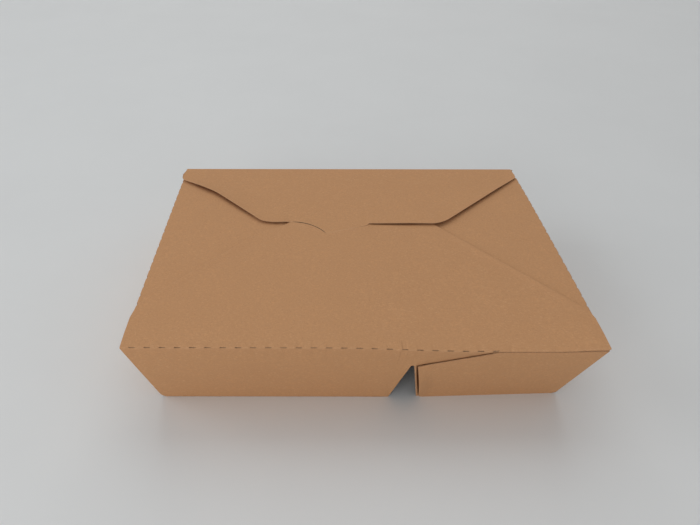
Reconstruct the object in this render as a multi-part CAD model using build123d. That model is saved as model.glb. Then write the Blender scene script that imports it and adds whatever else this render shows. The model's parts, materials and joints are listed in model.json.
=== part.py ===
from build123d import *
import os

# A folded takeaway box of thin kraft board. The sheet is folded into a tray with sloping walls,
# and four flaps close its mouth. The left, right and front flaps stay folded in one piece with the
# tray. The back flap lies over them and turns on its crease at the back rim.
#
# Frame: millimetres, +X along the long side, +Y to the back, +Z up.
# Origin: centre of the base's underside.

# ---------------------------------------------------------------------------
# Tray
# ---------------------------------------------------------------------------
RIM_LENGTH = 216.0          # mouth, left to right, over the board
RIM_DEPTH = 159.0           # mouth, front to back, over the board
HEIGHT = 48.0               # floor to the top of the front flap
END_LEAN = 9.5              # how far an end wall's foot lies inside its rim
LONG_LEAN = 11.5            # how far the front and back walls' feet lie inside their rims
BOARD = 0.4                 # board thickness
PLY_GAP = 0.15              # air between flaps that lie on each other
FOLD_ROUND = 0.3            # outside rounding of the front fold

# The glued front right corner is a little skewed at its foot.
CORNER_PUSH_IN = 3.0        # its foot lies this far behind the rest of the front wall's foot
CORNER_SPREAD = 1.5         # and this far out past the rest of the end wall's foot

# ---------------------------------------------------------------------------
# Front wall: notch at its foot and the glued outer flap
# ---------------------------------------------------------------------------
NOTCH_FOOT_LEFT = 14.8      # the notch's left corner on the floor
NOTCH_FOOT_RIGHT = 29.0     # its right corner on the floor
NOTCH_PEAK_LEFT = 22.4      # left end of its blunt peak
NOTCH_PEAK_RIGHT = 23.4     # right end of its blunt peak
NOTCH_HEIGHT = 32.4         # floor to the peak

BASE_CUT_WIDTH = 20.0       # slot in the base behind the notch
BASE_CUT_DEPTH = 26.0       # from the front wall's foot, front to back
BASE_CUT_CENTRE = 23.0      # middle of the slot, along the front

GLUE_FLAP_SETBACK = 1.0     # board left showing between the notch and the glued flap
GLUE_FLAP_SHOULDER = 62.0   # where the flap's sloping top edge meets the rim
GLUE_FLAP_TOP_DROP = 0.6    # from the rim down to the flap's top edge

GLUE_TAB_WIDTH = 24.0       # plain inner tabs at the other three corners
GLUE_TAB_DROP = 4.0         # from the rim down to a tab's top edge

# ---------------------------------------------------------------------------
# End flaps
# ---------------------------------------------------------------------------
END_FLAP_REACH = 74.0       # crease to inner edge
END_FLAP_INSET = 2.0        # each end of the crease, from the rim's corner
END_FLAP_TAPER = 13.5       # how much each side narrows towards the inner edge
END_FLAP_CORNER = 5.0       # corner radius at the inner edge

# ---------------------------------------------------------------------------
# Front flap and back flap, seen from above
# ---------------------------------------------------------------------------
EAR_OVERHANG = 0.8          # the flaps' side edges stand out this far past the end creases
EAR_CHAMFER = 1.3           # how far an ear narrows before the slanting edge starts

FRONT_EAR_DEPTH = 22.5      # straight side edge, from the front crease
FRONT_SHOULDER_DEPTH = 28.0 # start of the slanting edge, from the front crease
FRONT_NECK_X = 52.4         # the slanting edges end this far from the middle
FRONT_NECK_Y = 9.6
FRONT_TONGUE_Y = 24.5       # far edge of the tongue under the back flap
FRONT_TONGUE_TIP_X = 39.0   # the tongue's right end
FRONT_TONGUE_ROOT_X = 14.0  # the tongue's left end

BACK_EAR_DEPTH = 5.5        # straight side edge, from the back crease
BACK_SHOULDER_DEPTH = 12.5  # start of the slanting edge, from the back crease
BACK_KINK_X = 83.7          # the left slanting edge bends slightly here
BACK_KINK_DEPTH = 29.8      # the bend, from the back crease
BACK_CORNER_X = 53.0        # where the slanting edges meet the front edge
BACK_LEFT_EDGE_Y = 18.6     # front edge, left of the lock
BACK_RIGHT_EDGE_Y = 16.8    # front edge, right of the lock
BACK_RIGHT_RISE = 2.2       # the front edge's right corner lies this much further back
BACK_RIGHT_TURN_X = 47.5    # where the right corner's slope begins

# Lock: the front flap's hook and the back flap meet along one line.
HOOK_TIP = (-36.6, 18.4)
HOOK_ARC_MIDDLE = (-25.8, 16.0)
HOOK_ARC_END = (-16.3, 7.4)
LOCK_END = (7.1, 14.8)
LOCK_RETURN_X = 8.7
HOOK_NECK = (-44.5, 12.6)
LOCK_GAP = 0.2              # clearance between the two flaps along the lock

# ---------------------------------------------------------------------------
# Cut-creases and hinge
# ---------------------------------------------------------------------------
CUT_LENGTH = 2.7            # one short cut of a perforated crease
CUT_PITCH = 6.4             # from one cut to the next
CUT_WIDTH = 0.3
CUT_DEPTH = 1.6             # across the fold's corner
CUT_END_MARGIN = 4.0        # plain crease left at each end
HINGE_GAP = 0.1             # back flap's edge to the crease line

# ---------------------------------------------------------------------------
# Worked out from the sizes above
# ---------------------------------------------------------------------------
HALF_LENGTH = RIM_LENGTH / 2
HALF_DEPTH = RIM_DEPTH / 2
END_RIM_Z = HEIGHT - BOARD - PLY_GAP
BACK_FLAP_Z = HEIGHT + PLY_GAP
EAR_X = HALF_LENGTH + EAR_OVERHANG
REACH = RIM_LENGTH + RIM_DEPTH          # longer than anything it has to cut


def ring(z, grow):
    """Corners of the tray's outer skin at height z, moved outwards by grow."""
    up = z / HEIGHT
    end = HALF_LENGTH - END_LEAN * (1 - up) + grow
    side = HALF_DEPTH - LONG_LEAN * (1 - up) + grow
    skew_in = CORNER_PUSH_IN * (1 - up)
    skew_out = CORNER_SPREAD * (1 - up)
    return [
        Vector(-end, -side, z),
        Vector(NOTCH_FOOT_LEFT, -side, z),
        Vector(end + skew_out, -side + skew_in, z),
        Vector(end, side, z),
        Vector(-end, side, z),
    ]


def skin(z_low, z_high, grow):
    """Solid filling the tray's outer skin between two heights, with ruled sides."""
    low = Wire.make_polygon(ring(z_low, grow), close=True)
    high = Wire.make_polygon(ring(z_high, grow), close=True)
    return Solid.make_loft([low, high], ruled=True)


def block(x_low, x_high, y_low, y_high, z_low, z_high):
    """Plain box between two corners."""
    centre = Pos((x_low + x_high) / 2, (y_low + y_high) / 2, (z_low + z_high) / 2)
    return centre * Box(x_high - x_low, y_high - y_low, z_high - z_low)


def sheet_panel(edges, z_low):
    """Flat board panel of one thickness, standing on z_low, inside a closed run of edges."""
    outline = make_face(edges)
    return Pos(0, 0, z_low) * extrude(outline, BOARD, dir=(0, 0, 1))


def lock_line(shift):
    """The line where the two flaps meet, from the hook's tip to its end, moved back by shift."""
    tip = (HOOK_TIP[0], HOOK_TIP[1] + shift)
    middle = (HOOK_ARC_MIDDLE[0], HOOK_ARC_MIDDLE[1] + shift)
    bottom = (HOOK_ARC_END[0], HOOK_ARC_END[1] + shift)
    end = (LOCK_END[0], LOCK_END[1] + shift)
    return [ThreePointArc(tip, middle, bottom), Line(bottom, end)], tip, end


def open_run(points):
    """Straight edges through a list of points."""
    return [Line(a, b) for a, b in zip(points, points[1:])]


def make_tray():
    """Base and four walls of one board thickness. The end walls stop below the end flaps' tops."""
    hollow = skin(BOARD, HEIGHT + 1, -BOARD)
    tray = skin(0, HEIGHT, 0) - hollow
    end_inner = HALF_LENGTH - BOARD - PLY_GAP
    for side in (-1, 1):
        near, far = sorted((side * end_inner, side * REACH))
        tray -= block(near, far, -REACH, REACH, END_RIM_Z, HEIGHT + 1)
    return tray


def make_glue_tabs():
    """Plain tabs of the end walls, glued inside the long walls at three corners."""
    top = HEIGHT - GLUE_TAB_DROP
    hollow = skin(BOARD, top, -BOARD)
    inner_x = HALF_LENGTH - END_LEAN - GLUE_TAB_WIDTH
    tabs = []
    for side_x, side_y in ((-1, -1), (-1, 1), (1, 1)):
        lining = hollow - Pos(0, -side_y * BOARD, 0) * hollow
        near, far = sorted((side_x * inner_x, side_x * REACH))
        y_near, y_far = sorted((0, side_y * REACH))
        tabs.append(lining & block(near, far, y_near, y_far, 0, top))
    return tabs


def make_glued_flap():
    """Long flap of the right end wall, glued over the outside of the front wall."""
    top = HEIGHT - GLUE_FLAP_TOP_DROP
    foot_x = NOTCH_FOOT_RIGHT + GLUE_FLAP_SETBACK
    peak_x = NOTCH_PEAK_RIGHT + GLUE_FLAP_SETBACK
    outline = Plane.XZ * make_face(Polyline(
        (foot_x, 0), (REACH, 0), (REACH, top), (GLUE_FLAP_SHOULDER, top),
        (peak_x, NOTCH_HEIGHT), close=True))
    window = extrude(outline, REACH, dir=(0, -1, 0))
    cover = Pos(0, -BOARD, 0) * skin(0, top, 0)
    return (cover & window) - skin(-1, HEIGHT, -BOARD)


def make_notch():
    """Blunt wedge that cuts the notch out of the front wall's foot."""
    outline = Plane.XZ * make_face(Polyline(
        (NOTCH_FOOT_LEFT, -1), (NOTCH_FOOT_LEFT, 0), (NOTCH_PEAK_LEFT, NOTCH_HEIGHT),
        (NOTCH_PEAK_RIGHT, NOTCH_HEIGHT), (NOTCH_FOOT_RIGHT, 0), (NOTCH_FOOT_RIGHT, -1), close=True))
    return extrude(outline, REACH, dir=(0, -1, 0))


def make_base_cut():
    """Slot in the base, straight behind the notch."""
    foot_y = -(HALF_DEPTH - LONG_LEAN)
    x_low = BASE_CUT_CENTRE - BASE_CUT_WIDTH / 2
    return block(x_low, x_low + BASE_CUT_WIDTH, foot_y + BOARD, foot_y + BASE_CUT_DEPTH, -1, BOARD + 1)


def make_end_flap(side):
    """Tapered flap folded in from one end wall."""
    crease_x = HALF_LENGTH - BOARD / 2
    inner_x = HALF_LENGTH - END_FLAP_REACH
    outer_y = HALF_DEPTH - END_FLAP_INSET
    inner_y = outer_y - END_FLAP_TAPER
    outline = make_face(Polyline(
        (side * crease_x, -outer_y), (side * inner_x, -inner_y),
        (side * inner_x, inner_y), (side * crease_x, outer_y), close=True))
    inner_corners = outline.vertices().filter_by(lambda v: abs(v.X) < inner_x + 1)
    outline = fillet(inner_corners, END_FLAP_CORNER)
    return Pos(0, 0, END_RIM_Z - BOARD) * extrude(outline, BOARD, dir=(0, 0, 1))


def make_front_flap():
    """Flap folded in over both end flaps, with the lock's hook and a tongue under the back flap."""
    crease_y = -HALF_DEPTH
    ear_y = crease_y + FRONT_EAR_DEPTH
    shoulder_y = crease_y + FRONT_SHOULDER_DEPTH
    shoulder_x = EAR_X - EAR_CHAMFER
    lock, tip, end = lock_line(0)
    left = open_run([
        tip, HOOK_NECK, (-FRONT_NECK_X, FRONT_NECK_Y), (-shoulder_x, shoulder_y),
        (-EAR_X, ear_y), (-EAR_X, crease_y)])
    right = open_run([
        (-EAR_X, crease_y), (EAR_X, crease_y), (EAR_X, ear_y), (shoulder_x, shoulder_y),
        (FRONT_NECK_X, FRONT_NECK_Y), (FRONT_TONGUE_TIP_X, FRONT_TONGUE_Y),
        (FRONT_TONGUE_ROOT_X, FRONT_TONGUE_Y), end])
    return sheet_panel(lock + left + right, HEIGHT - BOARD)


def make_back_flap():
    """Top flap that lies over the others. Its edge follows the front flap's hook at the lock."""
    crease_y = HALF_DEPTH - HINGE_GAP
    ear_y = crease_y - BACK_EAR_DEPTH
    shoulder_y = crease_y - BACK_SHOULDER_DEPTH
    shoulder_x = EAR_X - EAR_CHAMFER
    lock, tip, end = lock_line(LOCK_GAP)
    left = open_run([
        tip, (-BACK_CORNER_X, BACK_LEFT_EDGE_Y), (-BACK_KINK_X, crease_y - BACK_KINK_DEPTH),
        (-shoulder_x, shoulder_y), (-EAR_X, ear_y), (-shoulder_x, crease_y)])
    right = open_run([
        (-shoulder_x, crease_y), (shoulder_x, crease_y), (EAR_X, ear_y), (shoulder_x, shoulder_y),
        (BACK_CORNER_X, BACK_RIGHT_EDGE_Y + BACK_RIGHT_RISE), (BACK_RIGHT_TURN_X, BACK_RIGHT_EDGE_Y),
        (LOCK_RETURN_X, BACK_RIGHT_EDGE_Y), end])
    return sheet_panel(lock + left + right, BACK_FLAP_Z)


def crease_cuts():
    """Short cuts of the perforated creases: one row at the front rim and one at each end rim."""
    def row(length):
        count = int((length - 2 * CUT_END_MARGIN) / CUT_PITCH)
        return [(i - (count - 1) / 2) * CUT_PITCH for i in range(count)]

    cuts = []
    for x in row(RIM_LENGTH):
        cuts.append(Pos(x, -HALF_DEPTH, HEIGHT) * Rot(-45, 0, 0) * Box(CUT_LENGTH, CUT_WIDTH, CUT_DEPTH))
    for side in (-1, 1):
        for y in row(RIM_DEPTH):
            place = Pos(side * HALF_LENGTH, y, END_RIM_Z) * Rot(0, side * 45, 0)
            cuts.append(place * Box(CUT_WIDTH, CUT_LENGTH, CUT_DEPTH))
    return cuts


def front_fold(body):
    """Outside edge of the front crease, which runs the whole length of the rim."""
    near = BOARD / 2
    folds = []
    for edge in body.edges():
        middle = edge.center()
        at_crease = abs(middle.Z - HEIGHT) < near and abs(middle.Y + HALF_DEPTH) < near
        if at_crease and edge.length > HALF_LENGTH:
            folds.append(edge)
    return folds


def make_box_body():
    """The folded sheet: tray, glued corners and the three flaps that stay shut."""
    body = make_tray()
    body += make_front_flap()
    body += [make_end_flap(-1), make_end_flap(1)]
    body = fillet(front_fold(body), FOLD_ROUND)
    body += make_glued_flap()
    body += make_glue_tabs()
    body -= make_notch()
    body -= make_base_cut()
    body -= crease_cuts()
    return body


os.makedirs("parts", exist_ok=True)
export_step(make_box_body(), "parts/box_body.step")
export_step(make_back_flap(), "parts/back_flap.step")
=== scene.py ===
import json
import math

import bpy
import numpy as np
from bpy.props import FloatProperty, FloatVectorProperty, PointerProperty
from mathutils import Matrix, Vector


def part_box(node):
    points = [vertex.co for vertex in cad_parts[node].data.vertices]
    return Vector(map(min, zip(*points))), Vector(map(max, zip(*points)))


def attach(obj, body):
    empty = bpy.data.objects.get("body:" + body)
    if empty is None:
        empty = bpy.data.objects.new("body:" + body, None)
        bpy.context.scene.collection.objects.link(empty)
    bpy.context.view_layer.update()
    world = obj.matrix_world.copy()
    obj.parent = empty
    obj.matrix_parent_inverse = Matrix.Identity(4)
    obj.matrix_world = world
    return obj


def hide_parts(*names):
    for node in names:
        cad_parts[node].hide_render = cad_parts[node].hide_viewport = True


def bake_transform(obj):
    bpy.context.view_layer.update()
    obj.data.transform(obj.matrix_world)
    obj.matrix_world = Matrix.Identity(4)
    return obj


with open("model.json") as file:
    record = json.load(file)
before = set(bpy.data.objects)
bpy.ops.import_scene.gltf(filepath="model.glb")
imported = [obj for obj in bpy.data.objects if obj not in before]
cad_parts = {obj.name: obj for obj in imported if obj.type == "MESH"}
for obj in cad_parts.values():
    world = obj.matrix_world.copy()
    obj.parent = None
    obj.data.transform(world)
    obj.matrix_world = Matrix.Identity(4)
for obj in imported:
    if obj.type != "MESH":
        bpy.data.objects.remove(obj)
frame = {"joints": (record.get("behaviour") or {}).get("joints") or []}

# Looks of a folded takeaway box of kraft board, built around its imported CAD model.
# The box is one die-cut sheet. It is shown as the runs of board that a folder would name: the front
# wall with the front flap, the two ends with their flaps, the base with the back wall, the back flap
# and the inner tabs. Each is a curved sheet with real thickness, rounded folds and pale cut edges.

bl_info = {
    "name": "Kraft takeaway box",
    "version": (1, 0, 0),
    "blender": (4, 5, 0),
    "location": "3D View > Sidebar > Takeaway box",
    "description": "Builds a folded kraft board takeaway box with perforated creases",
    "category": "Mesh",
}

MM = 0.001

# --- Sizes taken from the frame, in metres ---
EAR_X, _, RIM_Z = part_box("box_body")[1]     # the front flap's side edge and its top
LID_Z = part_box("back_flap")[1][2]           # top of the back flap
HALF_DEPTH = frame["joints"][0]["pos_m"][1]  # rim, middle to back crease
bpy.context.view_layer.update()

# --- Outlines, in millimetres: x to the right, y to the back, z up ---
# A point of an outline is (x, y, how far from the corner its rounding starts).
# Lock: the front flap's hook and the back flap meet along an arc and a straight run.
HOOK_TIP = (-36.6, 18.4)
HOOK_ARC_MIDDLE = (-25.8, 16.0)
HOOK_ARC_END = (-16.3, 7.4)
LOCK = [HOOK_TIP, HOOK_ARC_END, (7.1, 14.8)]

# Front flap's far edge and back flap's near edge, from left to right.
FRONT_EDGE = [(-109.3, -60.0, 0), (-107.9, -51.0, 1.5), (-52.4, 9.4, 3.0), (-44.5, 12.4, 2.0),
              (-39.0, 16.2, 1.0), *LOCK, (14.0, 24.5, 3.0), (39.0, 24.5, 4.0), (52.4, 8.4, 3.0),
              (107.9, -54.6, 1.5), (109.1, -60.0, 0)]
BACK_EDGE = [(-107.8, 71.5, 0), (-107.3, 66.4, 1.0), (-105.9, 64.6, 1.0), (-83.7, 49.2, 4.0),
             (-53.0, 18.6, 5.0), (-46.0, 17.6, 4.0), *LOCK, (8.7, 16.8, 0.8), (32.8, 16.2, 4.0),
             (46.8, 15.4, 3.0), (53.2, 18.4, 4.0), (105.9, 67.2, 1.0), (106.7, 69.0, 0.8), (107.0, 71.5, 0)]

# Notch in the front wall's foot: (x, z, rounding), with a foot on each side and a blunt peak.
NOTCH = [(12.6, 0.0, 0), (14.9, 0.0, 1.6), (22.3, 32.9, 1.2), (23.6, 32.6, 1.0), (29.2, 0.0, 0)]

# Glued flap over the front wall's right half.
GLUE_FOOT_LEFT = 30.6       # its left corner on the floor
GLUE_PEAK = (25.2, 32.8)    # top of its left edge
GLUE_SLOPE = 0.369          # rise of its slanting top edge
GLUE_TOP_GAP = 1.6          # from the rim down to its level top edge
GLUE_CORNER_ROUND = 1.3     # radius of its lower left corner

# Slot in the base behind the notch.
BASE_SLOT_X = (13.0, 33.0)
BASE_SLOT_DEPTH = 26.0

# End flaps.
END_FLAP_REACH = 74.0       # crease to inner edge
END_FLAP_CREASE = 77.5      # half the length of the crease
END_FLAP_INNER = 64.0       # half the length of the inner edge
END_FLAP_DROP = 0.55        # top of the end flaps below the top of the front flap

EAR_OVERHANG = 0.8          # the front and back flaps' ears stand out past the end creases
FOOT_CORNER_ROUND = 3.4     # radius of the front wall's lower left corner
TAB_WIDTH = 24.0            # inner tabs
TAB_DROP = 4.0              # from the rim down to a tab's top edge
WALL_END_INSET = 0.9        # the front wall's right end lies this far inside the glued corner

HALF_RIM = EAR_X / MM - EAR_OVERHANG
RIM = RIM_Z / MM
SIDE = HALF_DEPTH / MM
FRONT_EAR = HALF_RIM + 1.2  # half the front flap's width at its ears
FRONT_CREASE_HALF = HALF_RIM + 0.9
FRONT_SHIFT = -0.1          # the front flap's middle
EAR_SPREAD_Y = 9.0          # an ear reaches its full width this far behind the crease
BACK_CREASE_HALF = HALF_RIM - 1.6

# Corners of the tray, by side (-1 left, 1 right) and end (-1 front, 1 back): the rim's x past
# HALF_RIM, then how far the foot lies inside the rim along x and along y.
CORNERS = {
    (-1, -1): (1.1, 9.0, 11.2),
    (1, -1): (0.7, 7.5, 14.4),
    (-1, 1): (-0.8, 9.5, 11.5),
    (1, 1): (0.0, 9.5, 11.5),
}
END_CREASE_BOW = {-1: 0.35, 1: 1.0}


# --- Settings ---
class SheetSizes(bpy.types.PropertyGroup):
    """Sizes of the board and of its folds."""

    board: FloatProperty(
        name="Board thickness", description="Thickness of the kraft board",
        default=0.4 * MM, min=0.1 * MM, unit="LENGTH")
    fold_radius: FloatProperty(
        name="Fold radius", description="Outside radius of a fold",
        default=0.55 * MM, min=0.45 * MM, unit="LENGTH")
    cut_length: FloatProperty(
        name="Cut length", description="Length of one cut in a perforated crease",
        default=2.8 * MM, unit="LENGTH")
    cut_pitch: FloatProperty(
        name="Cut pitch", description="Distance from one cut to the next",
        default=6.75 * MM, unit="LENGTH")
    lift: FloatProperty(
        name="Flap lift", description="How far the back flap's free edge stands up",
        default=1.5 * MM, unit="LENGTH")
    sag: FloatProperty(
        name="Crease sag", description="How far the front crease sags over the glued flap",
        default=1.25 * MM, unit="LENGTH")
    swell: FloatProperty(
        name="Crease swell", description="How far the front crease swells out over the glued flap",
        default=1.05 * MM, unit="LENGTH")
    wave: FloatProperty(
        name="Board wave", description="Height of the board's slow waves",
        default=0.12 * MM, unit="LENGTH")


class SheetColours(bpy.types.PropertyGroup):
    """Colours of the board and of the floor."""

    kraft: FloatVectorProperty(
        name="Kraft", description="Colour of the board's face", subtype="COLOR",
        default=(0.61, 0.322, 0.155), min=0.0, max=1.0)
    pale_fibre: FloatVectorProperty(
        name="Pale fibre", description="Colour of the palest fibres", subtype="COLOR",
        default=(0.72, 0.43, 0.235), min=0.0, max=1.0)
    dark_fibre: FloatVectorProperty(
        name="Dark fibre", description="Colour of the darkest fibres", subtype="COLOR",
        default=(0.43, 0.21, 0.095), min=0.0, max=1.0)
    cut_edge: FloatVectorProperty(
        name="Cut edge", description="Colour of the board where it is cut", subtype="COLOR",
        default=(0.68, 0.42, 0.24), min=0.0, max=1.0)
    floor: FloatVectorProperty(
        name="Floor", description="Colour of the floor", subtype="COLOR",
        default=(0.77, 0.78, 0.78), min=0.0, max=1.0)


# --- Surfaces: arrays of points and the triangles between them ---
def size(name):
    """A size from the settings, in millimetres."""
    return getattr(bpy.context.scene.takeaway_sizes, name) / MM


def unit(vectors):
    """Vectors divided by their own lengths."""
    return vectors / np.linalg.norm(vectors, axis=-1, keepdims=True)


def points3(x, y, z):
    """One array of points from three arrays that broadcast together."""
    return np.stack(np.broadcast_arrays(x, y, z), axis=-1).astype(float)


def smooth_step(value, low, high):
    """0 below low, 1 above high, and 3t^2 - 2t^3 between, with t the share of the way."""
    t = np.clip((value - low) / (high - low), 0.0, 1.0)
    return t * t * (3 - 2 * t)


def bump(x, y, centre, reach_x, reach_y):
    """Round hill of height 1: e to the minus squared distance, each axis over its own reach."""
    return np.exp(-((x - centre[0]) / reach_x) ** 2 - ((y - centre[1]) / reach_y) ** 2)


def rounded(before, corner, after, radius, rows):
    """Arc that rounds a corner in each column: the circle of that radius that touches both lines.

    The centre lies on the corner's bisector at radius / sin(half the angle), and the points turn from
    one touching point to the other by slerp, so they are evenly spaced.
    """
    to_before = unit(before - corner)
    to_after = unit(after - corner)
    half = 0.5 * np.arccos(np.clip((to_before * to_after).sum(-1), -1, 1))
    reach = (radius / np.tan(half))[:, None]
    centre = corner + unit(to_before + to_after) * (radius / np.sin(half))[:, None]
    first = corner + to_before * reach - centre
    last = corner + to_after * reach - centre
    turn = (math.pi - 2 * half)[None, :, None]
    share = np.linspace(0, 1, rows)[:, None, None]
    return centre + (np.sin((1 - share) * turn) * first + np.sin(share * turn) * last) / np.sin(turn)


def rows_between(first, last, shares):
    """Rows at the given shares of the way from the row first to the row last."""
    return first + np.asarray(shares)[:, None, None] * (last - first)


def grid_quads(rows, columns, kept=None):
    """Corner numbers of a grid's quads, row by row; kept says which quads there are."""
    number = np.arange(rows * columns).reshape(rows, columns)
    quads = np.stack([number[:-1, :-1], number[:-1, 1:], number[1:, 1:], number[1:, :-1]], axis=-1)
    return quads[kept] if kept is not None else quads.reshape(-1, 4)


def patch(points, pale=0.0, kept=None):
    """Part of a surface: a grid of points in millimetres, its quads and its paleness."""
    return points * MM, grid_quads(*points.shape[:2], kept), pale


def weld(patches):
    """One surface from several (points, quads, paleness): equal points become one.

    Quads become triangles, and triangles with two equal corners go.
    """
    points, triangles, pale, start = [], [], [], 0
    for patch_points, quads, paleness in patches:
        flat = patch_points.reshape(-1, 3)
        points.append(flat)
        pale.append(np.broadcast_to(paleness, patch_points.shape[:2]).reshape(-1))
        triangles.append(quads[:, [0, 1, 2]] + start)
        triangles.append(quads[:, [0, 2, 3]] + start)
        start += len(flat)
    points, triangles, pale = np.concatenate(points), np.concatenate(triangles), np.concatenate(pale)
    _, first, place = np.unique(np.round(points / (0.002 * MM)), axis=0, return_index=True,
                                return_inverse=True)
    points, triangles, pale = points[first], place.reshape(-1)[triangles], pale[first]
    whole = ((triangles[:, 0] != triangles[:, 1]) & (triangles[:, 1] != triangles[:, 2])
             & (triangles[:, 2] != triangles[:, 0]))
    triangles = triangles[whole]
    used = np.unique(triangles)
    renumber = np.zeros(len(points), int)
    renumber[used] = np.arange(len(used))
    return points[used], renumber[triangles], pale[used]


def point_normals(points, triangles):
    """Normal at each point: the sum of its triangles' cross products, made one long."""
    a, b, c = (points[triangles[:, k]] for k in range(3))
    cross = np.cross(b - a, c - a)
    normals = np.zeros_like(points)
    for k in range(3):
        np.add.at(normals, triangles[:, k], cross)
    return unit(normals)


def thicken(points, triangles, thickness):
    """Closed board from its outer face: the inner face lies along the normals, and strips join the rims.

    Returns points, triangles, which triangles are rim, and the pairs of points along sharp edges.
    """
    count = len(points)
    inner = points - point_normals(points, triangles) * thickness
    edges = np.concatenate([triangles[:, [0, 1]], triangles[:, [1, 2]], triangles[:, [2, 0]]])
    key = edges[:, 0] * count + edges[:, 1]
    reverse = edges[:, 1] * count + edges[:, 0]
    rim = edges[~np.isin(key, reverse)]
    a, b = rim[:, 0], rim[:, 1]
    strips = np.concatenate([np.stack([b, a, a + count], 1), np.stack([b, a + count, b + count], 1)])
    faces = np.concatenate([triangles, triangles[:, ::-1] + count, strips])
    is_rim = np.arange(len(faces)) >= 2 * len(triangles)
    sharp = np.concatenate([rim, rim + count])
    return np.concatenate([points, inner]), faces, is_rim, sharp


def board_piece(name, patches, body):
    """Object of welded and thickened patches, with the kraft face and cut edge materials."""
    skin, triangles, pale = weld(patches)
    points, faces, is_rim, sharp = thicken(skin, triangles, bpy.context.scene.takeaway_sizes.board)
    mesh = bpy.data.meshes.new(name)
    mesh.from_pydata(points.tolist(), [], faces.tolist())
    mesh.polygons.foreach_set("use_smooth", np.ones(len(faces), bool))
    mesh.polygons.foreach_set("material_index", is_rim.astype(np.int32))
    pairs = np.empty(len(mesh.edges) * 2, np.int32)
    mesh.edges.foreach_get("vertices", pairs)
    pairs = np.sort(pairs.reshape(-1, 2).astype(np.int64), axis=1)
    wanted = np.sort(sharp, axis=1)
    size = len(points)
    is_sharp = np.isin(pairs[:, 0] * size + pairs[:, 1], wanted[:, 0] * size + wanted[:, 1])
    attribute = mesh.attributes.new("sharp_edge", "BOOLEAN", "EDGE")
    attribute.data.foreach_set("value", is_sharp)
    # The pale attribute carries painted highlight at folds and edges, along with their paler fibres.
    paleness = mesh.attributes.new("pale", "FLOAT", "POINT")
    paleness.data.foreach_set("value", np.concatenate([pale, pale]).astype(np.float32))
    mesh.materials.append(kraft_material())
    mesh.materials.append(cut_edge_material())
    mesh.validate()
    mesh.update()
    piece = bpy.data.objects.new(name, mesh)
    bpy.context.scene.collection.objects.link(piece)
    if body:
        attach(piece, body)
    return piece


# --- Shape of the box, in millimetres ---
def corner(side, end, z):
    """Outer corner of the tray at height z: it runs straight from its foot to its rim."""
    past, foot_x, foot_y = CORNERS[side, end]
    lean = 1 - z / RIM
    return side * (HALF_RIM + past - foot_x * lean), end * (SIDE - foot_y * lean)


def front_x(share, z):
    """Along the front wall at height z: share runs from -1 at its left end to 1 at its right end."""
    left, _ = corner(-1, -1, z)
    right, _ = corner(1, -1, z)
    return left + (share + 1) / 2 * (right - WALL_END_INSET - left)


def front_share(x, z):
    """Share of the way along the front wall at which x lies at height z."""
    left, _ = corner(-1, -1, z)
    right, _ = corner(1, -1, z)
    return 2 * (x - left) / (right - WALL_END_INSET - left) - 1


def front_y(x, z):
    """Front wall's outer face: flat from its left end, and pushed in at its foot right of the notch."""
    _, left_y = corner(-1, -1, z)
    right_x, right_y = corner(1, -1, z)
    notch_x = NOTCH[0][0]
    return left_y + (right_y - left_y) * np.clip((x - notch_x) / (right_x - notch_x), 0, 1)


def crease_swell(x):
    """Share of the front crease's swell and sag: it grows from the left, and most of it goes again."""
    return smooth_step(x, -20.0, 58.0) * (1 - 0.7 * smooth_step(x, 86.0, 108.0))


def rim_drop(x):
    """Height of the front crease above the rim: a little high at the left, sagging at the right."""
    return 0.3 - size("sag") * crease_swell(x)


def rim_out(x):
    """How far the front crease stands out in front of the rim."""
    return size("swell") * crease_swell(x)


def glue_top(x):
    """Top edge of the glued flap: the slant from its peak, then level below the front crease."""
    slant = GLUE_PEAK[1] + GLUE_SLOPE * np.maximum(x - GLUE_PEAK[0], 0)
    return np.minimum(slant, RIM + rim_drop(x) - GLUE_TOP_GAP)


def top_wave(x, y):
    """Height that all the flaps share: the front crease's sag fading backwards, and slow waves."""
    fade = np.exp(-np.maximum(y + SIDE, 0) / 26.0)
    ripple = np.sin(x / 31.0 + 0.7) * np.sin(y / 24.0 + 0.4) + 0.6 * np.sin(x / 17.0 - y / 21.0)
    inside = np.clip(1 - (np.abs(x) / HALF_RIM) ** 4, 0, 1) * np.clip(1 - (np.abs(y) / SIDE) ** 4, 0, 1)
    return rim_drop(x) * fade + size("wave") * ripple * inside


def soften(outline):
    """Outline with rounded corners, as an array of points.

    Each inner corner becomes a quadratic curve from the point its own reach before it to the point as
    far after it, with the corner as the curve's control point.
    """
    data = np.array([(point + (0,))[:3] for point in outline], float)
    place, reach = data[:, :2], data[:, 2]
    before, here, after = place[:-2], place[1:-1], place[2:]
    length_in = np.linalg.norm(here - before, axis=1)
    length_out = np.linalg.norm(after - here, axis=1)
    cut_back = np.minimum(reach[1:-1], 0.45 * np.minimum(length_in, length_out))
    first = here + (before - here) * (cut_back / length_in)[:, None]
    last = here + (after - here) * (cut_back / length_out)[:, None]
    t = np.linspace(0, 1, 7)[None, :, None]
    curve = (1 - t) ** 2 * first[:, None] + 2 * t * (1 - t) * here[:, None] + t ** 2 * last[:, None]
    return np.concatenate([place[:1], curve.reshape(-1, 2), place[-1:]])


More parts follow.
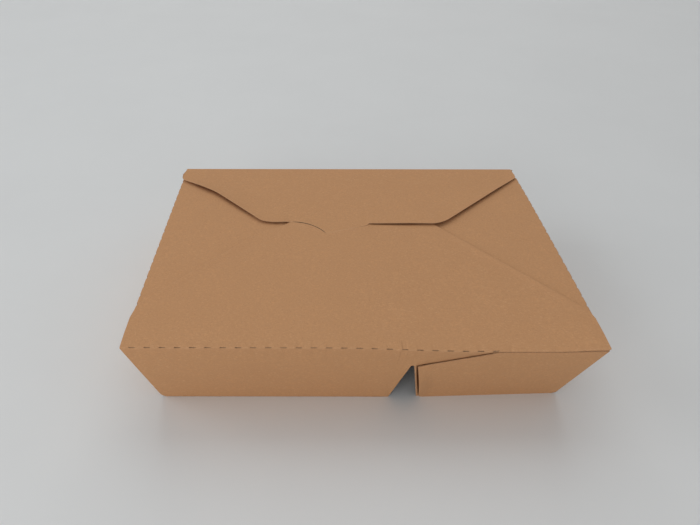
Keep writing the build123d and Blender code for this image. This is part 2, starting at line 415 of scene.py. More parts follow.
def hook_arc(x):
    """Arc of the hook's edge: the circle through its tip, middle and end, solved for y at x."""
    (x1, y1), (x2, y2), (x3, y3) = HOOK_TIP, HOOK_ARC_MIDDLE, HOOK_ARC_END
    a = np.array([[x2 - x1, y2 - y1], [x3 - x1, y3 - y1]]) * 2
    b = np.array([x2 ** 2 - x1 ** 2 + y2 ** 2 - y1 ** 2, x3 ** 2 - x1 ** 2 + y3 ** 2 - y1 ** 2])
    centre_x, centre_y = np.linalg.solve(a, b)
    radius = math.hypot(x1 - centre_x, y1 - centre_y)
    return centre_y + np.sqrt(np.maximum(radius ** 2 - (x - centre_x) ** 2, 0))


def lock_edge(x, outline):
    """Edge of a flap along x: its softened outline, but the hook's arc between the hook's tip and end."""
    runs = soften(outline)
    y = np.interp(x, runs[:, 0], runs[:, 1])
    on_arc = (x > HOOK_TIP[0]) & (x < HOOK_ARC_END[0])
    return np.where(on_arc, hook_arc(x), y)


def lock_gap(x):
    """Half the gap between the two edges at the lock: open along the arc, and shut on the straight run."""
    return 0.02 + 0.42 * smooth_step(x, -36.6, -31.0) * (1 - smooth_step(x, -17.6, -16.3))


def edge_marks(outline):
    """Columns that a flap's edge needs: its outline's points and closer ones along the arc."""
    return np.concatenate([soften(outline)[:, 0], np.linspace(HOOK_TIP[0], HOOK_ARC_END[0], 25)])


def columns_through(low, high, spacing, marks):
    """Positions from low to high at about spacing, with every mark among them.

    Positions nearer to a mark than a third of the spacing give way to it, and so does a mark that
    follows another too closely.
    """
    marks = np.unique(np.round(np.concatenate([np.asarray(marks, float), [low, high]]), 4))
    marks = marks[(marks >= low) & (marks <= high)]
    marks = marks[np.diff(marks, prepend=low - 1) > CLOSEST_MARKS]
    even = np.arange(low, high, spacing)
    far = np.abs(even[:, None] - marks[None, :]).min(1) > spacing / 3
    return np.unique(np.concatenate([even[far], marks]))


def cut_marks(half_length, shift=0.0):
    """Start and end of each cut of a perforated crease, centred on the crease but for the shift."""
    pitch, length = size("cut_pitch"), size("cut_length")
    count = round(2 * half_length / pitch) - 1
    middles = (np.arange(count) - (count - 1) / 2) * pitch + shift
    return middles - length / 2, middles + length / 2


def cut_dents(positions, half_length, shift=0.0):
    """1 at positions inside a cut and 0 at the bridges between cuts and at the cuts' own ends."""
    starts, ends = cut_marks(half_length, shift)
    inside = (positions[:, None] > starts + 0.1) & (positions[:, None] < ends - 0.1)
    return inside.any(1).astype(float)


def in_cuts(positions, half_length, shift=0.0):
    """Which of the gaps between neighbouring positions lie inside a cut."""
    starts, ends = cut_marks(half_length, shift)
    middle = (positions[:-1] + positions[1:]) / 2
    return ((middle[:, None] > starts) & (middle[:, None] < ends)).any(1)


# --- Materials ---
class BoardNodes:
    """New node material, and short ways to add nodes to it. Patterns read Object coordinates."""

    def __init__(self, name):
        self.material = bpy.data.materials.new(name)
        self.material.use_nodes = True
        self.tree = self.material.node_tree
        self.shader = self.tree.nodes["Principled BSDF"].inputs
        self.where = self.add("ShaderNodeTexCoord").outputs["Object"]

    def add(self, kind, **values):
        """Node of a kind, with its own properties set."""
        node = self.tree.nodes.new(kind)
        for key, value in values.items():
            setattr(node, key, value)
        return node

    def link(self, output, socket):
        """Link from an output to a socket."""
        self.tree.links.new(output, socket)

    def noise(self, scale, detail, roughness, stretch=(1, 1, 1), turn=(0, 0, 0)):
        """Noise of about scale waves a metre, stretched and turned by a Mapping node."""
        mapping = self.add("ShaderNodeMapping")
        mapping.inputs["Scale"].default_value = stretch
        mapping.inputs["Rotation"].default_value = turn
        texture = self.add("ShaderNodeTexNoise")
        texture.inputs["Scale"].default_value = scale
        texture.inputs["Detail"].default_value = detail
        texture.inputs["Roughness"].default_value = roughness
        self.link(self.where, mapping.inputs["Vector"])
        self.link(mapping.outputs["Vector"], texture.inputs["Vector"])
        return texture.outputs["Fac"]

    def spread(self, value, low, high, first=0.0, last=1.0):
        """Value spread so that low becomes first and high becomes last."""
        node = self.add("ShaderNodeMapRange")
        for name, limit in (("From Min", low), ("From Max", high), ("To Min", first), ("To Max", last)):
            node.inputs[name].default_value = limit
        self.link(value, node.inputs["Value"])
        return node.outputs["Result"]

    def mix(self, share, first, second):
        """Colour between first and second by share; each may be a colour or another node's output."""
        node = self.add("ShaderNodeMix", data_type="RGBA")
        self.link(share, node.inputs["Factor"])
        for socket, colour in ((node.inputs[6], first), (node.inputs[7], second)):
            if isinstance(colour, bpy.types.NodeSocket):
                self.link(colour, socket)
            else:
                socket.default_value = (*colour, 1)
        return node.outputs[2]


def shade(colour, factor):
    """Colour made darker or lighter by a factor."""
    return tuple(factor * part for part in colour)


def kraft_material():
    """Face of the board: brown, cloudy at 15 mm, mottled at 3 mm, with fine pale and dark fibres.

    The pale attribute, broken up by fine noise, turns it towards the cut edge's colour at folds and edges:
    partly the paler cracked fibres there, partly painted highlight where folds and edges catch the light.
    """
    if "kraft_face" in bpy.data.materials:
        return bpy.data.materials["kraft_face"]
    colours = bpy.context.scene.takeaway_colours
    kraft = colours.kraft
    nodes = BoardNodes("kraft_face")
    cloud = nodes.spread(nodes.noise(60, 3, 0.55), 0.35, 0.65)
    mottle = nodes.spread(nodes.noise(330, 4, 0.6), 0.35, 0.68)
    dark = nodes.spread(nodes.noise(2100, 3, 0.6, (1, 0.4, 1), (0, 0, 0.5)), 0.55, 0.95)
    pale = nodes.spread(nodes.noise(1900, 3, 0.6, (0.4, 1, 0.7), (0, 0, 0.9)), 0.54, 0.95)
    grain = nodes.spread(nodes.noise(850, 3, 0.6), 0.34, 0.66)
    speck = nodes.noise(1300, 2, 0.5)
    body = nodes.mix(cloud, shade(kraft, 0.965), shade(kraft, 1.035))
    mottled = nodes.mix(mottle, shade(kraft, 0.93), body)
    grained = nodes.mix(grain, shade(kraft, 0.91), mottled)
    darker = nodes.mix(dark, grained, colours.dark_fibre)
    specked = nodes.mix(nodes.spread(speck, 0.73, 0.80), darker, shade(colours.dark_fibre, 0.8))
    fibres = nodes.mix(pale, specked, colours.pale_fibre)
    # Painted highlight, together with the paler fibres of folds and cuts: the pale attribute lightens the
    # face towards the cut edge colour.
    cracked_fibre_and_highlight = nodes.add("ShaderNodeMath", operation="MULTIPLY")
    nodes.link(nodes.add("ShaderNodeAttribute", attribute_name="pale").outputs["Fac"], cracked_fibre_and_highlight.inputs[0])
    nodes.link(nodes.spread(speck, 0.2, 0.9), cracked_fibre_and_highlight.inputs[1])
    nodes.link(nodes.mix(cracked_fibre_and_highlight.outputs[0], fibres, colours.cut_edge), nodes.shader["Base Color"])
    relief = nodes.add("ShaderNodeBump")
    relief.inputs["Strength"].default_value = 0.25
    relief.inputs["Distance"].default_value = 0.00012
    nodes.link(nodes.noise(1400, 4, 0.65), relief.inputs["Height"])
    nodes.link(relief.outputs["Normal"], nodes.shader["Normal"])
    nodes.link(nodes.spread(mottle, 0.0, 1.0, 0.70, 0.86), nodes.shader["Roughness"])
    nodes.shader["Specular IOR Level"].default_value = 0.18
    return nodes.material


def cut_edge_material():
    """Cut edge of the board: paler than its face, with short darker fibres; the whole edge is drawn at 0.6
    to 0.85 of its colour, painted shade that darkens the gaps between flaps.
    """
    if "kraft_cut_edge" in bpy.data.materials:
        return bpy.data.materials["kraft_cut_edge"]
    colour = bpy.context.scene.takeaway_colours.cut_edge
    nodes = BoardNodes("kraft_cut_edge")
    grain = nodes.spread(nodes.noise(1800, 3, 0.6), 0.35, 0.75)
    # Painted shade: both ends of the grain mix are darker than the cut edge colour, so that slits and gaps
    # read dark; the grain between them is the edge's own fibre.
    nodes.link(nodes.mix(grain, shade(colour, 0.85), shade(colour, 0.6)), nodes.shader["Base Color"])
    nodes.shader["Roughness"].default_value = 0.92
    nodes.shader["Specular IOR Level"].default_value = 0.2
    return nodes.material


def floor_material():
    """Pale painted board with a faint soft mottle."""
    colour = bpy.context.scene.takeaway_colours.floor
    nodes = BoardNodes("pale_floor")
    cloud = nodes.spread(nodes.noise(9, 4, 0.6), 0.3, 0.7)
    nodes.link(nodes.mix(cloud, shade(colour, 0.975), colour), nodes.shader["Base Color"])
    nodes.shader["Roughness"].default_value = 0.55
    nodes.shader["Specular IOR Level"].default_value = 0.3
    return nodes.material


# --- Pieces ---
FOOT_ROWS = 5               # rows of a foot fold
WALL_SHARES = np.linspace(0, 1, 24)
NECK_SHARES = np.linspace(0, 1, 6)
RIM_ROWS = 11               # rows of a rim fold
FLAP_ROWS = 46              # rows of a long flap
CUT_ROWS = slice(4, 9)      # rows of quads of a rim fold that a cut takes away
SPACING = 1.9               # columns, where nothing asks for closer ones
CLOSEST_MARKS = 0.06        # a mark nearer than this to the one before it is left out
FRONT_CUT_SHIFT = -2.65     # the front crease's row of cuts lies a little left of its middle
EDGE_BAND = 0.5             # width of the pale band along a flap's edge: painted highlight, partly the cut's paler fibres
PINCHED_FROM = 64.0         # right of here the front crease's cuts are pinched shut
# Paleness of a rim fold, strongest at its middle: painted highlight of the rounded fold, partly its cracked
# paler fibres.
FOLD_PALENESS = 0.45 * np.sin(np.linspace(0, np.pi, RIM_ROWS))[:, None]
BACKWARDS = np.array([0, 5.0, 0])
RIGHTWARDS = np.array([5.0, 0, 0])
FRONT_FOOT_RADIUS = 0.45    # outside radius of the front wall's foot
FRONT_CUT_DENT = 0.14       # how far the board gives way at a cut of the front crease
END_CUT_DENT = 0.3          # and at a cut of an end crease
FRONT_BOW = 0.35            # wave of the front wall, left of the notch
WALL_HOLLOW = 0.5           # how far the other walls are hollow in their middles
RECESS_DEPTH = 3.0          # how far the front wall turns in behind the glued flap's left edge
END_INSET = 1.0             # from an end wall's upright edge to the long wall's outer face
END_CORNER_ROUND = 1.4      # radius of an end wall's lower corners
END_FLAP_SINK = {-1: 0.25, 1: 0.75}  # how far an end flap sinks to its inner edge
TUCK_DEPTH = 0.7            # how far an end flap goes down under the back flap's edge
GLUE_BULGE = 2.1            # how far the glued flap's left edge bulges out
GLUE_LOOSE = 0.45           # how far its slanting edge stands off
PLY_GAP = 0.12              # between two glued plies


def flap_lanes(start_y, edge_y, rows):
    """Rows of a flap from its fold to its edge, the last but one a narrow band short of the edge."""
    lane = np.linspace(0, 1, rows)[:, None]
    y = start_y + lane * (edge_y - np.sign(edge_y - start_y) * EDGE_BAND - start_y)
    return np.concatenate([y, (edge_y + 0 * start_y)[None, :]])


def edge_paleness(rows):
    """Paleness of a flap's rows: none but at its very edge, where it is painted highlight and partly the
    cut's paler fibres.
    """
    return 0.75 * (np.arange(rows) == rows - 1)[:, None]


def wall_start(distance, corner_round):
    """Height at which a wall starts, near a rounded lower corner: a quarter circle, then the floor."""
    d = np.clip(distance, 0, corner_round)
    return corner_round - np.sqrt(corner_round ** 2 - (corner_round - d) ** 2)


def first_row(low, foot_rows, skin):
    """First row of a wall: the foot fold's last, or the wall at height low where its foot is cut away."""
    raised = low > 1e-6
    z = np.where(raised, low, foot_rows[-1, :, 2])
    return np.where(raised[:, None], skin(z), foot_rows[-1])


def foot_quads(low):
    """Which quads of a foot fold there are: none where the wall's foot is cut away."""
    return in_every_row(~((low[:-1] > 1e-6) | (low[1:] > 1e-6)), FOOT_ROWS - 1)


def in_every_row(kept, rows):
    """Which quads of a grid there are, the same in each of its rows of quads."""
    return np.repeat(kept[None, :], rows, axis=0)


def notch_height(share):
    """Height of the notch's edge in each column, 0 outside it.

    A column runs from foot_x to rim_x, so x = foot_x + (rim_x - foot_x) z / RIM. Each side of the notch
    is the line x = a + b z, so z = (a - foot_x) / ((rim_x - foot_x) / RIM - b).
    """
    foot_x = front_x(share, 0.0)
    run = (front_x(share, RIM) - foot_x) / RIM
    outline = soften(NOTCH)
    height = np.zeros_like(share)
    for (x1, z1), (x2, z2) in zip(outline, outline[1:]):
        if abs(z2 - z1) < 1e-6:
            continue
        slope = (x2 - x1) / (z2 - z1)
        inside = (share >= front_share(x1, z1) - 1e-9) & (share <= front_share(x2, z2) + 1e-9)
        line = (x1 - slope * z1 - foot_x) / (run - slope)
        height = np.where(inside, np.clip(line, 0, RIM), height)
    return height


def front_flap_height(x, y, edge_y):
    """Front flap's top above the shared wave.

    It rises to meet the back flap at the lock, its hook stands a board's thickness higher, its tongue
    goes down under the back flap, and its slanting edges curl up a little off the end flaps.
    """
    meet = 0.26 * bump(x, y, (-8.0, 13.0), 22.0, 17.0)
    hook = 0.30 * bump(x, y, (-30.0, 17.0), 12.0, 11.0)
    tongue = 0.28 * smooth_step(x, 6.0, 12.0) * smooth_step(y, -6.0, 12.0)
    tongue = tongue + 0.9 * smooth_step(x, 7.5, 12.0) * smooth_step(y, 14.5, 20.0)
    tongue = tongue * (1 - smooth_step(x, 30.0, 48.0))
    curl = 0.3 * smooth_step(np.abs(x), 50.0, 62.0) * (1 - smooth_step(np.abs(x), 90.0, 108.0))
    return meet + hook - tongue + curl * smooth_step(y, edge_y - 8, edge_y)


def make_front_sheet():
    """Front wall and front flap: foot fold, wall, perforated rim fold and flap, one profile a column."""
    radius = size("fold_radius")
    starts, ends = cut_marks(FRONT_EAR, FRONT_CUT_SHIFT)
    notch = soften(NOTCH)
    notch_side = np.linspace(notch[-2, 0] - 6.0, notch[-1, 0] + 5.0, 30)
    marks = np.concatenate([
        edge_marks(FRONT_EDGE) - FRONT_SHIFT, starts, ends, (starts + ends) / 2,
        front_share(notch[:, 0], notch[:, 1]) * FRONT_EAR, notch_side,
        FOOT_CORNER_ROUND * np.array([0.05, 0.15, 0.3, 0.5, 0.75, 1.0]) - FRONT_EAR,
    ])
    column = columns_through(-FRONT_EAR, FRONT_EAR, SPACING, marks)
    share = column / FRONT_EAR
    ear_x = column + FRONT_SHIFT
    crease_x = share * FRONT_CREASE_HALF + FRONT_SHIFT
    low = np.maximum(notch_height(share), wall_start(column + FRONT_EAR, FOOT_CORNER_ROUND))
    zero = np.zeros_like(share)

    def skin(z):
        x = front_x(share, z)
        return points3(x, front_y(x, z), z)

    rim_x = front_x(share, zero + RIM)
    rim_z = RIM + rim_drop(rim_x)
    foot = skin(zero)
    dent = FRONT_CUT_DENT * cut_dents(column, FRONT_EAR, FRONT_CUT_SHIFT)
    rim = points3(rim_x, -SIDE - rim_out(rim_x) + dent, rim_z - dent)
    neck_z = np.minimum(glue_top(rim_x), rim_z - GLUE_TOP_GAP)
    neck = skin(neck_z)
    foot_rows = rounded(foot + BACKWARDS, foot, rim, FRONT_FOOT_RADIUS, FOOT_ROWS)
    rim_rows = rounded(neck, rim, rim + BACKWARDS, radius, RIM_ROWS)
    spread = smooth_step(np.linspace(0, 1, RIM_ROWS), 0.0, 0.7)[:, None]
    rim_rows[..., 0] += (crease_x - rim_x) * spread

    wall = rows_between(first_row(low, foot_rows, skin), neck, WALL_SHARES)
    bow = FRONT_BOW * np.sin((share + 1) * np.pi * 0.9) * (1 - smooth_step(share, 0.15, 0.3))
    wall[..., 1] += np.sin(WALL_SHARES * np.pi)[:, None] * bow
    collar = rows_between(neck, rim_rows[0], NECK_SHARES)

    edge_y = lock_edge(ear_x, FRONT_EDGE) - lock_gap(ear_x)
    start_y = rim_rows[-1, :, 1]
    y = flap_lanes(start_y, edge_y, FLAP_ROWS)
    x = crease_x + (ear_x - crease_x) * np.clip((y - start_y) / EAR_SPREAD_Y, 0, 1)
    settle = smooth_step(y - start_y, 0.0, 6.0)
    first_z = rim_rows[-1, :, 2]
    z = first_z + settle * (RIM + top_wave(x, y) - first_z)
    flap = points3(x, y, z + settle * front_flap_height(x, y, edge_y))
    flap[0] = rim_rows[-1]

    past_notch = wall[..., 0] - notch[-1, 0] + (notch[-1, 0] - notch[-2, 0]) * wall[..., 2] / notch[-2, 1]
    recess = smooth_step(past_notch, 0.7, 2.4) * (1 - smooth_step(past_notch, 8.0, 22.0))
    wall[..., 1] += RECESS_DEPTH * recess * np.sin(np.pi * np.clip(wall[..., 2] / 34.0, 0, 1)) ** 0.6
    # Painted highlight: a pale strip on the wall's face just right of the notch stands in for the lit cut
    # edge there.
    strip = 0.6 * smooth_step(past_notch, -0.6, 0.0) * (1 - smooth_step(past_notch, 0.3, 1.6))
    strip = strip * (1 - smooth_step(wall[..., 2], 31.0, 34.0))

    cut = in_cuts(column, FRONT_EAR, FRONT_CUT_SHIFT)
    rim_kept = np.ones((RIM_ROWS - 1, len(column) - 1), bool)
    rim_kept[CUT_ROWS, :] = ~(cut & (column[1:] < PINCHED_FROM))
    patches = [
        patch(foot_rows, kept=foot_quads(low)),
        patch(wall, strip),
        patch(collar),
        patch(rim_rows, FOLD_PALENESS, rim_kept),
        patch(flap, edge_paleness(len(flap))),
    ]
    return board_piece("front_wall_and_flap", patches, "box")


def end_flap_reach(y):
    """How far an end flap reaches in from its crease: up its tapered sides, then level."""
    taper = (END_FLAP_CREASE - np.abs(y)) / (END_FLAP_CREASE - END_FLAP_INNER)
    return END_FLAP_REACH * np.clip(taper, 0, 1) ** 0.9


def make_end(side, name):
    """End wall and its flap: foot fold, wall, perforated rim fold and flap, one profile a column.

    Columns run from front to back on the right, and from back to front on the left, so faces point out.
    On the right the wall also folds round the front corner into the long glued flap.
    """
    radius = size("fold_radius")
    half = SIDE - END_INSET
    starts, ends = cut_marks(END_FLAP_CREASE)
    near_end = half - np.array([0.3, 0.8, 1.4])
    marks = np.concatenate([starts, ends, (starts + ends) / 2, near_end, -near_end,
                            [-END_FLAP_CREASE, END_FLAP_CREASE, -END_FLAP_INNER, END_FLAP_INNER]])
    column = columns_through(-half, half, SPACING, marks)
    if side < 0:
        column = column[::-1]
    share = (column / half + 1) / 2
    zero = np.zeros_like(column)
    rim_height = RIM - END_FLAP_DROP

    def skin(z):
        front_corner, back_corner = corner(side, -1, z), corner(side, 1, z)
        x = front_corner[0] + share * (back_corner[0] - front_corner[0])
        y = front_corner[1] + END_INSET + share * (back_corner[1] - front_corner[1] - 2 * END_INSET)
        bow = END_CREASE_BOW[side] * (1 - (2 * share - 1) ** 4) * z / RIM
        return points3(x + side * bow, y, z)

    rim_x, rim_y, _ = skin(zero + rim_height).T
    low = wall_start(half - np.abs(column), END_CORNER_ROUND)
    foot = skin(zero)
    dent = END_CUT_DENT * cut_dents(column, END_FLAP_CREASE)
    rim = points3(rim_x - side * dent, rim_y, rim_height + top_wave(rim_x, rim_y) - 0.5 * dent)
    foot_rows = rounded(foot - side * RIGHTWARDS, foot, rim, radius, FOOT_ROWS)
    rim_rows = rounded(foot, rim, rim - side * RIGHTWARDS, radius, RIM_ROWS)
    wall = rows_between(first_row(low, foot_rows, skin), rim_rows[0], WALL_SHARES)
    wall[..., 0] -= side * WALL_HOLLOW * np.sin(WALL_SHARES * np.pi)[:, None] * np.sin(share * np.pi)

    reach = np.maximum(end_flap_reach(column) - 1.5 * radius, EDGE_BAND + 0.05)
    inward = flap_lanes(zero, reach, FLAP_ROWS)
    x = rim_rows[-1, :, 0] - side * inward
    y = rim_y + 0 * inward
    settle = smooth_step(inward, 0.0, 5.0)
    sink = END_FLAP_SINK[side] * smooth_step(inward, 30.0, END_FLAP_REACH)
    first_z = rim_rows[-1, :, 2]
    z = first_z + settle * (rim_height + top_wave(x, y) - first_z) - sink
    under = lock_edge(x, BACK_EDGE)
    tuck = TUCK_DEPTH * smooth_step(inward, 3.0, 12.0) * smooth_step(np.abs(x), 50.0, 66.0)
    z = z - tuck * smooth_step(y - under, -0.5, 4.0)
    flap = points3(x, y, z)
    flap[0] = rim_rows[-1]

    cut = in_cuts(column, END_FLAP_CREASE)
    flapless = np.abs((column[:-1] + column[1:]) / 2) > END_FLAP_CREASE
    rim_kept = in_every_row(~flapless, RIM_ROWS - 1)
    rim_kept[CUT_ROWS, :] &= ~cut
    flap_kept = in_every_row(~flapless, len(flap) - 1)
    patches = [
        patch(foot_rows, kept=foot_quads(low)),
        patch(wall),
        patch(rim_rows, FOLD_PALENESS, rim_kept),
        patch(flap, edge_paleness(len(flap)), flap_kept),
    ]
    if side > 0:
        patches.append(glued_flap_patch(wall[:, 0]))
    return board_piece(name, patches, "box")


def glued_flap_patch(seam):
    """Long flap of the right end, folded round the corner and laid over the front wall.

    Each row runs from the flap's left edge along the front wall to the corner, and round it to the
    seam, which is the end wall's first column. The flap stands off the wall along its slanting edge,
    and its left edge bulges.
    """
    shares = np.concatenate([np.linspace(0, 0.06, 9)[:-1], np.linspace(0.06, 1, 60)])
    climb = WALL_SHARES[:, None]
    slope = (GLUE_FOOT_LEFT - GLUE_PEAK[0]) / GLUE_PEAK[1]
    top = np.full(len(shares), seam[-1, 2])
    for _ in range(20):     # the edge's x and its height depend on each other, and this settles them
        corner_x, _ = corner(1, -1, top)
        edge_x = GLUE_FOOT_LEFT - slope * np.minimum(top, GLUE_PEAK[1])
        top = glue_top(edge_x + shares * (corner_x - edge_x))
    top = np.minimum(top, seam[-1, 2] + 6.0 * (1 - shares))
    left = wall_start(shares * (HALF_RIM - GLUE_FOOT_LEFT), GLUE_CORNER_ROUND)
    bottom = np.maximum(left, seam[0, 2] * smooth_step(shares, 0.97, 1.0))
    z = bottom + climb * (top - bottom)
    corner_x, _ = corner(1, -1, z)
    edge_x = GLUE_FOOT_LEFT - slope * np.minimum(z, GLUE_PEAK[1])
    x = edge_x + shares * (corner_x - edge_x)
    bulge = GLUE_BULGE * (1 - smooth_step(x - edge_x, 0.0, 8.0)) * np.sin(np.pi * np.clip(z / 34.0, 0, 1))
    loose = GLUE_LOOSE * (1 - smooth_step(x, 50.0, 66.0)) * smooth_step(z, 6.0, 24.0)
    stand_off = size("board") + PLY_GAP + loose + bulge
    panel = points3(x, front_y(x, z) - stand_off, z)
    arc = np.swapaxes(rounded(panel[:, -2], panel[:, -1], seam, 0.6, 6), 0, 1)
    grid = np.concatenate([panel[:, :-1], arc, seam[:, None]], axis=1)
    return patch(grid)


def back_fold(foot_x, rim_x, rows):
    """Fold of the back crease, a column at each x: from the back wall below it to the flap before it."""
    foot = points3(foot_x, corner(1, 1, 0.0)[1], 0.0)
    rim = points3(rim_x, SIDE, LID_Z / MM)
    return rounded(foot, rim, rim - BACKWARDS, size("fold_radius"), rows)


def make_base_sheet():
    """Base and back wall: a flat panel with the slot, the back foot fold and the back wall.

    The back wall stops where its rim fold begins; the fold is the crease of the back flap.
    """
    radius = size("fold_radius")
    nominal = HALF_RIM - CORNERS[-1, 1][1]
    column = columns_through(-nominal, nominal, 3.0, list(BASE_SLOT_X) + [NOTCH[1][0]])[::-1]
    share = column / nominal
    zero = np.zeros_like(column)

    def between(end, z):
        left_x, y = corner(-1, end, z)
        right_x, _ = corner(1, end, z)
        return left_x + (share + 1) / 2 * (right_x - left_x), y

    foot_x, foot_y = between(1, zero)
    rim_x, rim_y = between(1, zero + RIM)
    foot = points3(foot_x, foot_y, zero)
    rim = points3(rim_x, rim_y, zero + LID_Z / MM)
    foot_rows = rounded(foot - BACKWARDS, foot, rim, radius, FOOT_ROWS)
    wall = rows_between(foot_rows[-1], back_fold(foot_x, rim_x, RIM_ROWS)[0], WALL_SHARES)
    wall[..., 1] -= WALL_HOLLOW * np.sin(WALL_SHARES * np.pi)[:, None] * np.sin((share + 1) * np.pi / 2)

    front_corner, _ = between(-1, zero)
    front_edge = front_y(front_corner, zero) + 0.4
    slot_end = -SIDE + CORNERS[-1, -1][2] + BASE_SLOT_DEPTH
    near = front_edge + np.linspace(0, 1, 8)[:, None] * (slot_end - front_edge)
    far = slot_end + np.linspace(0, 1, 12)[:, None] * (foot_rows[0, :, 1] - slot_end)
    base_y = np.concatenate([near, far[1:]])
    back_share = (base_y + SIDE) / (2 * SIDE)
    base_x = front_corner + back_share * (foot_x - front_corner)
    base_x = np.where(np.abs(column) < 60.0, column + 0 * base_y, base_x)
    base_x = base_x - np.sign(share) * 0.5 * smooth_step(np.abs(share), 0.99, 1.0)
    base = points3(base_x, base_y, 0 * base_y)
    base[-1] = foot_rows[0]
    in_slot = (np.maximum(column[:-1], column[1:]) <= BASE_SLOT_X[1] + 0.01) & (
        np.minimum(column[:-1], column[1:]) >= BASE_SLOT_X[0] - 0.01)
    kept = np.ones((len(base) - 1, len(column) - 1), bool)
    kept[:7, :] = ~in_slot
    patches = [
        patch(base, kept=kept),
        patch(foot_rows),
        patch(wall),
    ]
    return board_piece("base_and_back_wall", patches, "box")


def make_inner_tabs():
    """Tabs of the end walls glued inside the long walls at three corners: one flat grid each."""
    board = size("board")
    for name, side, end in (("tab_front_left", -1, -1), ("tab_back_left", -1, 1), ("tab_back_right", 1, 1)):
        z = np.linspace(1.0, RIM - TAB_DROP, 12)[:, None]
        share = np.linspace(0, 1, 9)[None, :]
        corner_x, corner_y = corner(side, end, z)
        outer_x = corner_x - side * (board + 0.1)
        x = outer_x - side * share * (TAB_WIDTH - 3.0 * z / RIM)
        grid = points3(x, corner_y - end * (board + PLY_GAP), z)
        if side * end < 0:
            grid = grid[:, ::-1]
        board_piece(name, [patch(grid)], "box")


def back_flap_height(x, y, share):
    """Back flap's top above its level: its free edge stands up, but is held down at the lock."""
    left = 0.25 + 0.75 * smooth_step(-x, 42.0, 84.0) - 0.72 * smooth_step(-x, 90.0, 108.0)
    right = 0.14 + 0.5 * smooth_step(x, 12.0, 50.0) - 0.45 * smooth_step(x, 88.0, 108.0)
    edge = left * smooth_step(-x, 36.2, 40.0) + right * smooth_step(x, 7.0, 8.8)
    dip = 0.34 * bump(x, y, (-14.0, 14.0), 26.0, 16.0)
    return size("lift") * edge * share ** 2.6 - dip


def make_back_flap():
    """Back flap: from the crease's fold to its edge, one straight run a column, lifted at its edge."""
    marks = np.concatenate([edge_marks(BACK_EDGE), np.linspace(6.0, 12.0, 12),
                            [-BACK_CREASE_HALF, BACK_CREASE_HALF]])
    column = columns_through(BACK_EDGE[0][0], BACK_EDGE[-1][0], SPACING, marks)
    level = LID_Z / MM
    start_x = np.clip(column, -BACK_CREASE_HALF, BACK_CREASE_HALF)
    edge_y = lock_edge(column, BACK_EDGE) + lock_gap(column)
    start_y = back_fold(column, column, RIM_ROWS)[-1, :, 1]
    y = flap_lanes(start_y, edge_y, 60)
    share = (y - start_y) / (edge_y - start_y)
    x = start_x + (column - start_x) * np.clip((start_y - y) / (start_y - BACK_EDGE[0][1]), 0, 1)
    z = level + top_wave(x, y) * smooth_step(SIDE - y, 0.0, 8.0) + back_flap_height(x, y, share)
    flap = points3(x, y, z)[::-1]
    paleness = edge_paleness(len(flap))[::-1]
    piece = board_piece("back_flap_board", [patch(flap, paleness)], "lid")
    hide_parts("back_flap")
    return piece


def make_back_crease():
    """Fold between the back wall and the back flap: an arc that stays in place as the flap turns."""
    column = columns_through(-BACK_CREASE_HALF, BACK_CREASE_HALF, 3.0, [])[::-1]
    fold = back_fold(column * corner(1, 1, 0.0)[0] / BACK_CREASE_HALF, column, 2 * RIM_ROWS)
    # The whole fold is drawn a little pale: painted highlight of the bent board, partly its cracked fibres.
    piece = board_piece("back_crease", [patch(fold, 0.2)], None)
    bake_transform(piece)
    return piece


# --- Operators ---
class TAKEAWAY_OT_front_sheet(bpy.types.Operator):
    """Builds the front wall with the front flap."""

    bl_idname = "takeaway.front_sheet"
    bl_label = "Front wall and flap"

    def execute(self, context):
        piece = make_front_sheet()
        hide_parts("box_body")
        return {"FINISHED"}


class TAKEAWAY_OT_ends(bpy.types.Operator):
    """Builds both end walls with their flaps, and the glued flap of the right one."""

    bl_idname = "takeaway.ends"
    bl_label = "Ends"

    def execute(self, context):
        make_end(-1, "left_end_and_flap")
        make_end(1, "right_end_and_flap")
        return {"FINISHED"}


class TAKEAWAY_OT_base_sheet(bpy.types.Operator):
    """Builds the base with the back wall."""

    bl_idname = "takeaway.base_sheet"
    bl_label = "Base and back wall"

    def execute(self, context):
        make_base_sheet()
        return {"FINISHED"}


class TAKEAWAY_OT_inner_tabs(bpy.types.Operator):
    """Builds the tabs glued inside three corners."""

    bl_idname = "takeaway.inner_tabs"
    bl_label = "Inner tabs"

    def execute(self, context):
        make_inner_tabs()
        return {"FINISHED"}


class TAKEAWAY_OT_back_flap(bpy.types.Operator):
    """Builds the back flap and the crease it turns on."""

    bl_idname = "takeaway.back_flap"
    bl_label = "Back flap"

    def execute(self, context):
        make_back_flap()
        make_back_crease()
        return {"FINISHED"}


class TAKEAWAY_OT_stage(bpy.types.Operator):
    """Adds the floor, the soft lights and the camera."""

    bl_idname = "takeaway.stage"
    bl_label = "Stage"

    def execute(self, context):
        make_floor()
        make_lights()
        make_camera()
        return {"FINISHED"}


# --- Stage ---
FLOOR_SIZE = 6.0
FLOOR_BEND_Y = 1.6           # where the floor starts to curve up
FLOOR_RADIUS = 0.8
CAMERA_PLACE = (-0.0232, -0.2505, 0.2344)
CAMERA_PITCH = math.radians(38.8)
CAMERA_ROLL = math.radians(0.09)
CAMERA_LENS = 29.1
CAMERA_SHIFT = 0.052
LIGHT_TARGET = (0, 0, 0.02)
LIGHTS = (  # name, place, size, power, colour
    ("back_light", (0.0, 1.3, 1.8), 2.0, 13.4, (1.0, 0.985, 0.96)),
    ("front_fill", (-0.5, -0.85, 0.32), 0.6, 2.5, (1.0, 0.99, 0.98)),
    ("left_fill", (-1.4, 0.1, 0.8), 0.9, 4.5, (0.92, 0.97, 1.0)),
)
SURROUND_COLOUR = (0.975, 0.985, 1.0, 1)
SURROUND_STRENGTH = 0.43


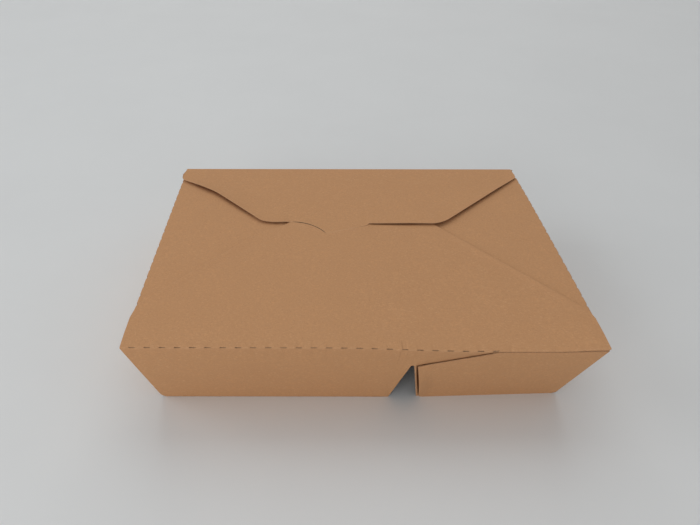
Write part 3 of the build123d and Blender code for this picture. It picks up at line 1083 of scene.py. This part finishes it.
def make_floor():
    """Pale floor that curves up into a backdrop far behind: a flat run, an arc and a rise."""
    across = np.linspace(-FLOOR_SIZE, FLOOR_SIZE, 3)
    bend = np.linspace(0, np.pi / 2, 13)
    back = FLOOR_BEND_Y + FLOOR_RADIUS
    y = np.concatenate([[-FLOOR_SIZE, 0.0], FLOOR_BEND_Y + FLOOR_RADIUS * np.sin(bend), [back]])
    z = np.concatenate([[0.0, 0.0], FLOOR_RADIUS * (1 - np.cos(bend)), [FLOOR_SIZE]])
    grid = points3(across[None, :], y[:, None], z[:, None])
    mesh = bpy.data.meshes.new("floor")
    mesh.from_pydata(grid.reshape(-1, 3).tolist(), [], grid_quads(*grid.shape[:2]).tolist())
    mesh.polygons.foreach_set("use_smooth", np.ones(len(mesh.polygons), bool))
    mesh.materials.append(floor_material())
    floor = bpy.data.objects.new("floor", mesh)
    bpy.context.scene.collection.objects.link(floor)


def area_light(name, place, size, power, colour):
    """Square soft light at place, turned towards the box."""
    light = bpy.data.lights.new(name, "AREA")
    light.shape = "SQUARE"
    light.size = size
    light.energy = power
    light.color = colour
    lamp = bpy.data.objects.new(name, light)
    bpy.context.scene.collection.objects.link(lamp)
    lamp.location = place
    x, y, z = np.subtract(LIGHT_TARGET, place)
    lamp.rotation_euler = (math.atan2(math.hypot(x, y), -z), 0, math.atan2(y, x) - math.pi / 2)


def make_lights():
    """A low wide light behind, a soft one in front, a weak one at the left, and an even grey surround."""
    for light in LIGHTS:
        area_light(*light)
    world = bpy.data.worlds.new("surround")
    world.use_nodes = True
    background = world.node_tree.nodes["Background"]
    background.inputs["Color"].default_value = SURROUND_COLOUR
    background.inputs["Strength"].default_value = SURROUND_STRENGTH
    bpy.context.scene.world = world


def make_camera():
    """Camera above and in front of the box, looking down at it."""
    camera = bpy.data.cameras.new("camera")
    camera.lens = CAMERA_LENS
    camera.sensor_width = 36.0
    camera.shift_x = CAMERA_SHIFT
    camera.clip_start = 0.01
    holder = bpy.data.objects.new("camera", camera)
    bpy.context.scene.collection.objects.link(holder)
    holder.location = CAMERA_PLACE
    tilt = math.pi / 2 - CAMERA_PITCH
    holder.rotation_euler = (tilt, -CAMERA_ROLL * math.sin(tilt), CAMERA_ROLL * math.cos(tilt))
    bpy.context.scene.camera = holder
    bpy.context.scene.view_settings.view_transform = "Standard"


# --- Panel and registration ---
class TAKEAWAY_PT_panel(bpy.types.Panel):
    """Lists the box's operators, sizes and colours."""

    bl_label = "Takeaway box"
    bl_idname = "TAKEAWAY_PT_panel"
    bl_space_type = "VIEW_3D"
    bl_region_type = "UI"
    bl_category = "Takeaway box"

    def draw(self, context):
        for operator in OPERATORS:
            self.layout.operator(operator.bl_idname)
        for group in (context.scene.takeaway_sizes, context.scene.takeaway_colours):
            for name in group.bl_rna.properties.keys():
                if name not in ("rna_type", "name"):
                    self.layout.prop(group, name)


OPERATORS = (
    TAKEAWAY_OT_front_sheet,
    TAKEAWAY_OT_ends,
    TAKEAWAY_OT_base_sheet,
    TAKEAWAY_OT_inner_tabs,
    TAKEAWAY_OT_back_flap,
    TAKEAWAY_OT_stage,
)
CLASSES = (SheetSizes, SheetColours) + OPERATORS + (TAKEAWAY_PT_panel,)


def register():
    """Registers the classes and hangs the settings on the scene."""
    for item in CLASSES:
        bpy.utils.register_class(item)
    bpy.types.Scene.takeaway_sizes = PointerProperty(type=SheetSizes)
    bpy.types.Scene.takeaway_colours = PointerProperty(type=SheetColours)


def unregister():
    """Takes the settings off the scene and unregisters the classes."""
    del bpy.types.Scene.takeaway_colours
    del bpy.types.Scene.takeaway_sizes
    for item in reversed(CLASSES):
        bpy.utils.unregister_class(item)


def main():
    register()
    bpy.ops.takeaway.front_sheet()
    bpy.ops.takeaway.ends()
    bpy.ops.takeaway.base_sheet()
    bpy.ops.takeaway.inner_tabs()
    bpy.ops.takeaway.back_flap()
    bpy.ops.takeaway.stage()


if __name__ == "__main__":
    main()
